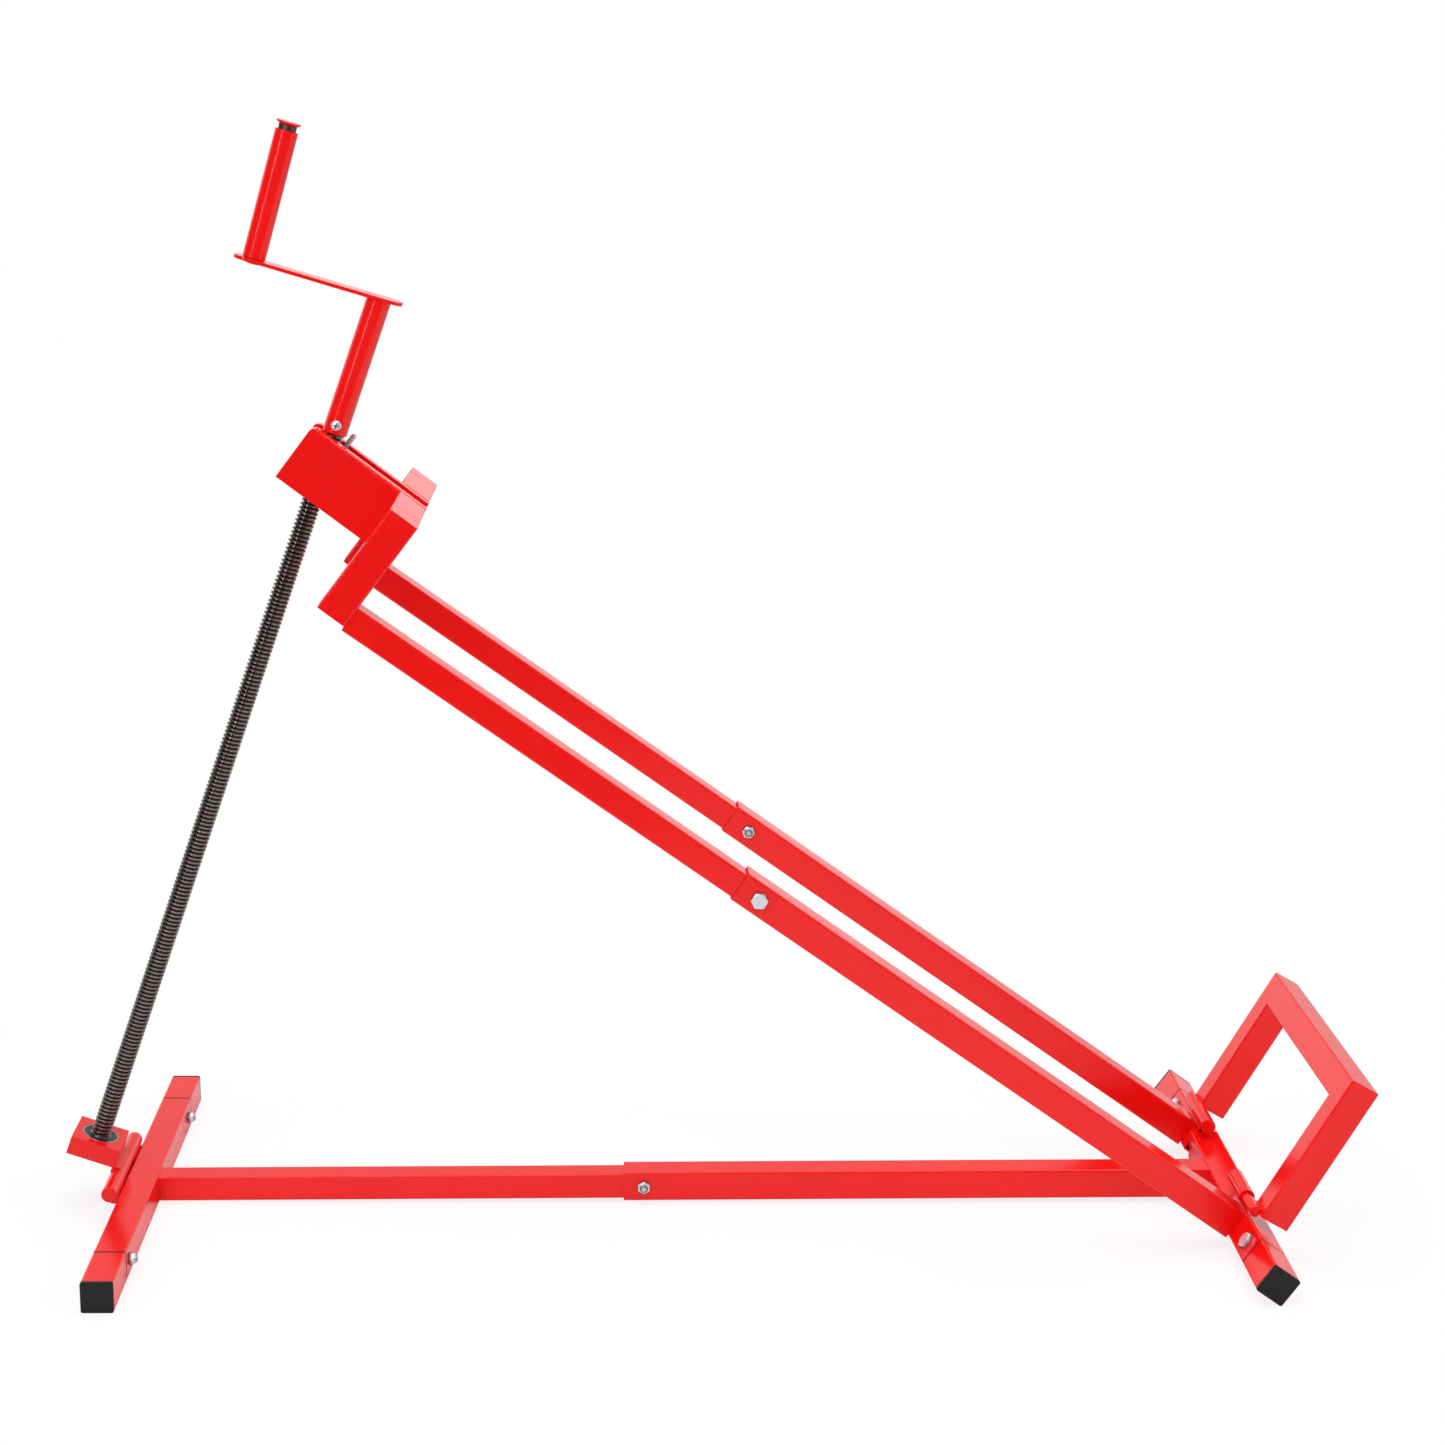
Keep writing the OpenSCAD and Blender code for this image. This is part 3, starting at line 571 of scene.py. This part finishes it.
def lead_screw():
    joint = JOINTS["screw_turn"]
    place = axis_frame(Vector(joint["pos_m"]), joint["axis"])
    screw = mesh_object("screw_thread", build_thread, SCREW, "lead_screw", place)
    shade_smooth(screw, THREAD_SHARP)
    back = place.inverted()
    # How far each point stands out of the painted groove shade, from the root to the crest
    share = screw.data.attributes.new(CREST, "FLOAT", "POINT")
    for point, value in zip(screw.data.vertices, share.data):
        at = back @ point.co
        height = (math.hypot(at.x, at.y) - SCREW_ROOT_R) / (SCREW_R - SCREW_ROOT_R)
        value.value = min(1, max(0, CREST_GAIN * height))
    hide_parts("lead_screw")


def hex_head(flats, height):
    """Outline of a bolt's head from its domed outer face, at zero, to its seat."""
    rim = flats / 2 * CIRCLE_SHARE
    drop = (flats / 2 - rim) * HEX_SLOPE
    # The seat ring carries painted shade where the head meets the tube
    return [(0, 0), (rim, 0), (flats, drop, HEX_SLOPE), (flats, height, 0, SEAT_DARK)]


def hex_nut(flats, start, height, collar_r, collar_h, hole_r):
    """Outline of a lock nut from its seat, past its collar, to the floor of its mouth."""
    rim = flats / 2 * CIRCLE_SHARE
    drop = (flats / 2 - rim) * HEX_SLOPE
    end = start + height
    shoulder = end - collar_h
    # The seat carries painted shade where the nut meets the tube, and the floor of the mouth painted shade in the
    # hollow
    return [
        (rim, start, None, SEAT_DARK),
        (flats, start + drop, HEX_SLOPE, SEAT_DARK),
        (flats, shoulder - drop, -HEX_SLOPE),
        (rim, shoulder),
        (collar_r, shoulder),
        (collar_r, end - BOLT_CHAMFER),
        (collar_r - BOLT_CHAMFER, end),
        (hole_r + NUT_MOUTH_W, end),
        (hole_r + NUT_MOUTH_W, end - NUT_MOUTH_H, None, MOUTH_DARK),
        (hole_r, end - NUT_MOUTH_H, None, MOUTH_DARK),
    ]


def threaded_end(radius, start, end, pitch):
    """Outline of ring-shaped ridges up to a chamfered end on the axis."""
    root = radius - RIDGE_DEPTH * pitch
    points = []
    height = start
    while height + pitch < end - pitch / 2:
        points += [(root, height + share * pitch) for share in RIDGE_ROOT]
        points += [(radius, height + share * pitch) for share in RIDGE_TOP]
        height += pitch
    # The chamfered end carries painted shade
    tip = [(radius, end - pitch / 2, None, TIP_DARK), (root, end, None, TIP_DARK), (0, end)]
    return points + tip


def node_axis(name, direction):
    """The frame at a node's start along its axis, and its length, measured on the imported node."""
    place = axis_frame(Vector((0, 0, 0)), direction)
    local = [place.inverted() @ NODES[name].matrix_world @ v.co for v in NODES[name].data.vertices]
    low = Vector([min(v[i] for v in local) for i in range(3)])
    high = Vector([max(v[i] for v in local) for i in range(3)])
    start = Vector(((low.x + high.x) / 2, (low.y + high.y) / 2, low.z))
    return Matrix.Translation(place @ start) @ place, high.z - low.z


def body_of(name):
    """The body that a CAD node belongs to."""
    bodies = frame["record"]["behaviour"]["bodies"]
    return next(body for body, nodes in bodies.items() if name in nodes)


def fastener(name, direction, outline, turned=0):
    """A bolt in place of its CAD node: outline gives its rings for the node's length."""
    place, length = node_axis(name, direction)
    place = place @ Matrix.Rotation(math.radians(turned), 4, "Z")

    def build(bm):
        revolve(bm, outline(length), FASTENER_STEPS)

    piece = mesh_object(name + "_detail", build, ZINC, body_of(name), place)
    if outline is crank_bolt:
        sink_cross(piece.data, place)
    shade_smooth(piece, FASTENER_SHARP)
    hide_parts(name)


def frame_bolt(length):
    """Hexagonal head, shank, lock nut and thread of a frame bolt."""
    nut_start = length - BOLT_TIP - NUT_H
    return (
        hex_head(BOLT_HEAD_FLATS, BOLT_HEAD_H)
        + [(BOLT_R, BOLT_HEAD_H), (BOLT_R, nut_start)]
        + hex_nut(NUT_FLATS, nut_start, NUT_H, NUT_COLLAR_R, NUT_COLLAR_H, BOLT_R)
        + threaded_end(BOLT_R, length - BOLT_TIP - NUT_MOUTH_H, length, BOLT_PITCH)
    )


def crank_bolt(length):
    """Pan head, shank, nut and thread of the crank's cross bolt."""
    nut_start = length - BOLT_TIP - CRANK_NUT_H
    dome_h = CRANK_DOME_SHARE * CRANK_HEAD_H
    turns = [math.radians(90 / CRANK_DOME_STEPS * k) for k in range(CRANK_DOME_STEPS + 1)]
    head = [(CRANK_HEAD_R * math.sin(turn), dome_h * (1 - math.cos(turn))) for turn in turns]
    nut = (CRANK_NUT_FLATS, nut_start, CRANK_NUT_H, CRANK_COLLAR_R, CRANK_COLLAR_H, CRANK_BOLT_R)
    return (
        head
        + [(CRANK_HEAD_R, CRANK_HEAD_H), (CRANK_BOLT_R, CRANK_HEAD_H), (CRANK_BOLT_R, nut_start)]
        + hex_nut(*nut)
        + threaded_end(CRANK_BOLT_R, length - BOLT_TIP - NUT_MOUTH_H, length, CRANK_BOLT_PITCH)
    )


def stud(length):
    """Bright stud with a chamfered end."""
    side = [(0, 0), (STUD_R, 0), (STUD_R, length - STUD_TIP_H)]
    return side + [(STUD_TIP_R, length), (0, length)]


def end_bolt(length):
    """Bolt that holds the washer under the bearing."""
    shank = [(END_BOLT_R, END_HEAD_H), (END_BOLT_R, length), (0, length)]
    return hex_head(END_HEAD_FLATS, END_HEAD_H) + shank


def sink_cross(mesh, place):
    """Presses the cross recess into the pan head and paints shade into it."""
    back = place.inverted()
    painted_shade = mesh.attributes[PAINTED_SHADE].data
    for vertex in mesh.vertices:
        at = back @ vertex.co
        radius = math.hypot(at.x, at.y)
        if at.z > CRANK_HEAD_H / 2 or radius > CROSS_SPAN:
            continue
        if min(abs(at.x), abs(at.y)) < CROSS_WIDTH / 2:
            at.z += CROSS_DEPTH * (1 - CROSS_TAPER * radius / CROSS_SPAN)
            vertex.co = place @ at
            painted_shade[vertex.index].value = CROSS_DARK


def fasteners():
    """All fasteners, each from its head's side, turned by so many degrees."""
    for side in ("near", "far"):
        fastener("front_bolt_" + side, (1, 0, 0), frame_bolt, 20)
        fastener("rear_bolt_" + side, ARM_DOWN, frame_bolt, 10)
    fastener("base_bolt", (0, -1, 0), frame_bolt, 0)
    fastener("arm_bolt_near", (0, 1, 0), frame_bolt, 33)
    fastener("arm_bolt_far", (0, -1, 0), frame_bolt, 20)
    fastener("crank_bolt", (0, 1, 0), crank_bolt, 12)
    fastener("head_stud", HEAD_UP, stud, 15)
    fastener("retaining_bolt", SCREW_UP, end_bolt)


def joint_shade(side, foot_place, body):
    """Dark collar of painted shade on an insert, standing in for the shade in the open joint between a foot's tube
    and its leg.
    """
    corners = []
    half = JOINT_SHADE_W / 2 - JOINT_SHADE_CORNER
    for k, (x, z) in enumerate(((half, half), (-half, half), (-half, -half), (half, -half))):
        for step in range(JOINT_SHADE_CORNER_STEPS + 1):
            turn = math.radians(90 * (k + step / JOINT_SHADE_CORNER_STEPS))
            corner = (x + JOINT_SHADE_CORNER * math.cos(turn), z + JOINT_SHADE_CORNER * math.sin(turn))
            corners.append(corner)
    ends = (FOOT_HALF - JOINT_SHADE_BEFORE, FOOT_HALF + JOINT_SHADE_AFTER)

    def build(bm):
        rings = [[bm.verts.new((x, side * y, z)) for x, z in corners] for y in ends]
        for i in range(len(corners)):
            j = (i + 1) % len(corners)
            bm.faces.new((rings[0][i], rings[0][j], rings[1][j], rings[1][i]))
        for ring in rings:
            bm.faces.new(ring)

    name = body + ("_joint_shade_near" if side < 0 else "_joint_shade_far")
    collar = mesh_object(name, build, JOINT_SHADE_BLACK, body, foot_place)
    shade_smooth(collar, JOINT_SHADE_SHARP)


def joint_shades():
    # Painted shade in the four joints of the feet: two on the base, two on the arms
    pivot = Vector(JOINTS["arm_lift"]["pos_m"])
    pivot.y = 0
    turned = Matrix.Rotation(ARM_ANGLE, 4, "Y")
    for side in (-1, 1):
        joint_shade(side, Matrix.Translation((0, 0, TUBE_W / 2)), "base")
        joint_shade(side, Matrix.Translation(pivot) @ turned, "arms")


def set_camera():
    """The photo's camera, from its yaw, pitch and roll in degrees."""
    yaw = math.radians(CAMERA_YAW)
    pitch = math.radians(CAMERA_PITCH)
    roll = math.radians(CAMERA_ROLL)
    level = Vector((-math.sin(yaw), math.cos(yaw), 0))
    ahead = level * math.cos(pitch) - Vector((0, 0, math.sin(pitch)))
    right = ahead.cross(Vector((0, 0, 1))).normalized()
    up = right.cross(ahead)
    right_rolled = right * math.cos(roll) + up * math.sin(roll)
    up_rolled = up * math.cos(roll) - right * math.sin(roll)
    data = bpy.data.cameras.new("camera")
    data.sensor_width = CAMERA_SENSOR
    data.lens = CAMERA_LENS
    data.clip_end = CAMERA_FAR
    camera = bpy.data.objects.new("camera", data)
    turned = Matrix((right_rolled, up_rolled, -ahead)).transposed().to_4x4()
    camera.matrix_world = Matrix.Translation(CAMERA_PLACE) @ turned
    bpy.context.scene.collection.objects.link(camera)
    bpy.context.scene.camera = camera


def area_light(name, place, target, size, power, width=None):
    """A lamp that faces its target, square unless a width is given."""
    data = bpy.data.lights.new(name, "AREA")
    data.shape = "RECTANGLE"
    data.size = size
    data.size_y = width or size
    data.energy = power
    light = bpy.data.objects.new(name, data)
    place, target = Vector(place), Vector(target)
    light.matrix_world = axis_frame(place, place - target, LAMP_SIDE)
    bpy.context.scene.collection.objects.link(light)
    return light


def set_lights():
    for lamp in LAMPS:
        area_light(*lamp)
    area_light(*STRIP_LAMP).visible_diffuse = False


def set_world():
    """White to the camera, a plain level for the light, a low bright backdrop for the gloss."""
    world = bpy.data.worlds.new("world")
    bpy.context.scene.world = world
    world.use_nodes = True
    tree = world.node_tree
    tree.nodes.clear()

    def add(kind, **settings):
        node = tree.nodes.new("ShaderNode" + kind)
        for key, value in settings.items():
            setattr(node, key, value)
        return node

    def ramp(source, points):
        node = add("MapRange", interpolation_type="SMOOTHSTEP")
        for key, number in zip(RANGE_SOCKETS, points):
            node.inputs[key].default_value = number
        tree.links.new(source, node.inputs["Value"])
        return node.outputs["Result"]

    def background(strength):
        node = add("Background")
        node.inputs["Color"].default_value = WHITE
        if isinstance(strength, bpy.types.NodeSocket):
            tree.links.new(strength, node.inputs["Strength"])
        else:
            node.inputs["Strength"].default_value = strength
        return node.outputs[0]

    def mix(factor, first, second):
        node = add("MixShader")
        for socket, value in zip(node.inputs, (factor, first, second)):
            tree.links.new(value, socket)
        return node.outputs[0]

    rays = add("LightPath")
    axes = add("SeparateXYZ")
    tree.links.new(add("TexCoord").outputs["Generated"], axes.inputs[0])
    level = add("Math", operation="MULTIPLY")
    tree.links.new(ramp(axes.outputs["Z"], GLOSS_BY_HEIGHT), level.inputs[0])
    tree.links.new(ramp(axes.outputs["Y"], GLOSS_BY_DEPTH), level.inputs[1])
    lit = mix(rays.outputs["Is Glossy Ray"], background(WORLD_LEVEL), background(level.outputs[0]))
    seen = mix(rays.outputs["Is Camera Ray"], lit, background(1.0))
    tree.links.new(seen, add("OutputWorld").inputs["Surface"])


def floor_material():
    """Pale floor that shows white to the camera and keeps a faint shadow near the object."""
    n = Nodes("floor")

    def link(first, second):
        n.tree.links.new(first, second)

    def mix(factor, first, second):
        node = n.add("MixShader")
        for socket, value in zip(node.inputs, (factor, first, second)):
            link(value, socket)
        return node.outputs[0]

    rays = n.add("LightPath")
    squeeze = n.add("VectorMath")
    squeeze.operation = "MULTIPLY"
    squeeze.inputs[1].default_value = FLOOR_STRETCH
    link(n.coords(), squeeze.inputs[0])
    away = n.add("VectorMath")
    away.operation = "LENGTH"
    link(squeeze.outputs[0], away.inputs[0])
    fade = n.add("MapRange", Value=away.outputs["Value"])
    fade.interpolation_type = "SMOOTHSTEP"
    for key, number in zip(RANGE_SOCKETS, FLOOR_FADE):
        n.feed(fade, key, number)
    white = n.add("Math")
    white.operation = "MULTIPLY"
    link(rays.outputs["Is Camera Ray"], white.inputs[0])
    link(fade.outputs["Result"], white.inputs[1])
    diffuse = n.add("BsdfDiffuse", Color=FLOOR_COLOUR)
    glow = n.add("Emission", Color=WHITE, Strength=1.0)
    mirrored = n.add("BsdfDiffuse", Color=FLOOR_IN_GLOSS)
    shown = mix(white.outputs[0], diffuse.outputs[0], glow.outputs[0])
    both = mix(rays.outputs["Is Glossy Ray"], shown, mirrored.outputs[0])
    link(both, n.add("OutputMaterial").inputs["Surface"])
    return n.material


def set_floor():
    near, far = FLOOR_FRONT, FLOOR_HALF
    corners = [(-far, near, 0), (far, near, 0), (far, far, 0), (-far, far, 0)]
    mesh = bpy.data.meshes.new("floor")
    mesh.from_pydata(corners, [], [(0, 1, 2, 3)])
    floor = bpy.data.objects.new("floor", mesh)
    floor.location = FLOOR_MIDDLE
    bpy.context.scene.collection.objects.link(floor)
    dress(floor, floor_material())


finish_cad_nodes()
lead_screw()
fasteners()
joint_shades()
set_camera()
set_lights()
set_world()
set_floor()
bpy.context.scene.view_settings.view_transform = "Standard"
